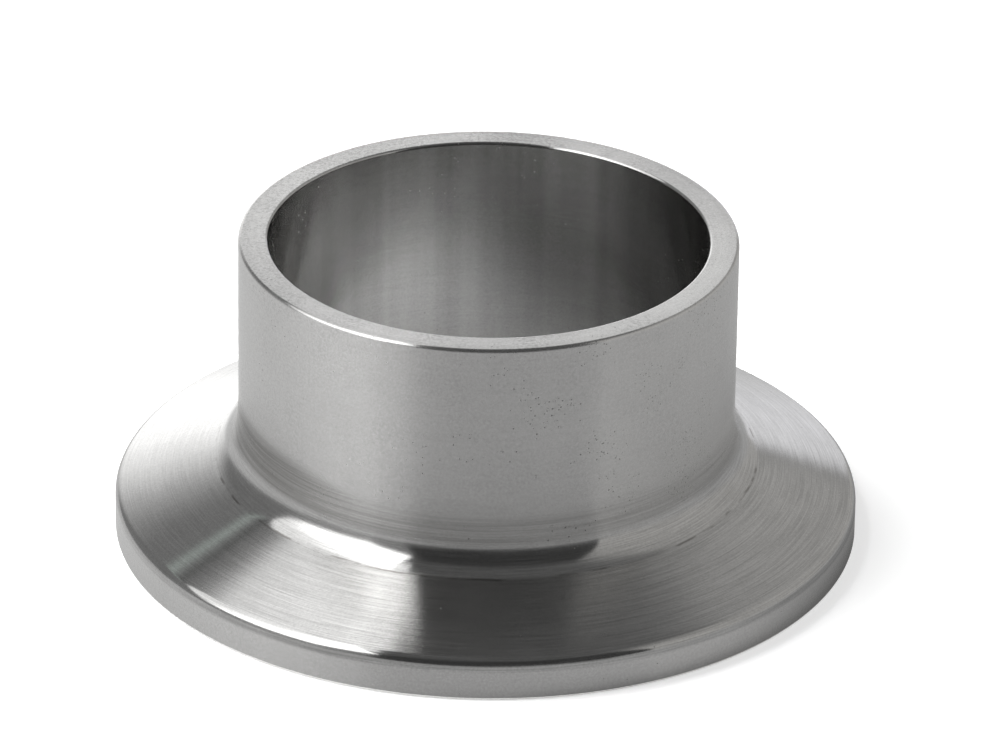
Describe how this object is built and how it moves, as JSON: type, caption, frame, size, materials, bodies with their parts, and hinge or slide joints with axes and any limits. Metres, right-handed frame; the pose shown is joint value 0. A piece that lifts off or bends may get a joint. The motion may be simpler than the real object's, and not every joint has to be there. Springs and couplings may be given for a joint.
{
  "type": "sanitary clamp ferrule",
  "caption": "Butt-weld sanitary ferrule: a plain stub of tube that opens through a rounded neck into a tapered clamp flange with a grooved sealing face.",
  "frame": {"origin": "centre of the flat sealing face, on the bore's axis", "axes": "+Z along the bore, from the sealing face to the weld end; X and Y are free, because the part is a body of revolution"},
  "size_m": [0.0506, 0.0504, 0.0215],
  "materials": {
    "stainless_steel": "fine turned stainless steel with satin circular tool marks, smoother inside the bore"
  },
  "bodies": {
    "root": {"clamp_ferrule": "stainless_steel"}
  },
  "joints": []
}
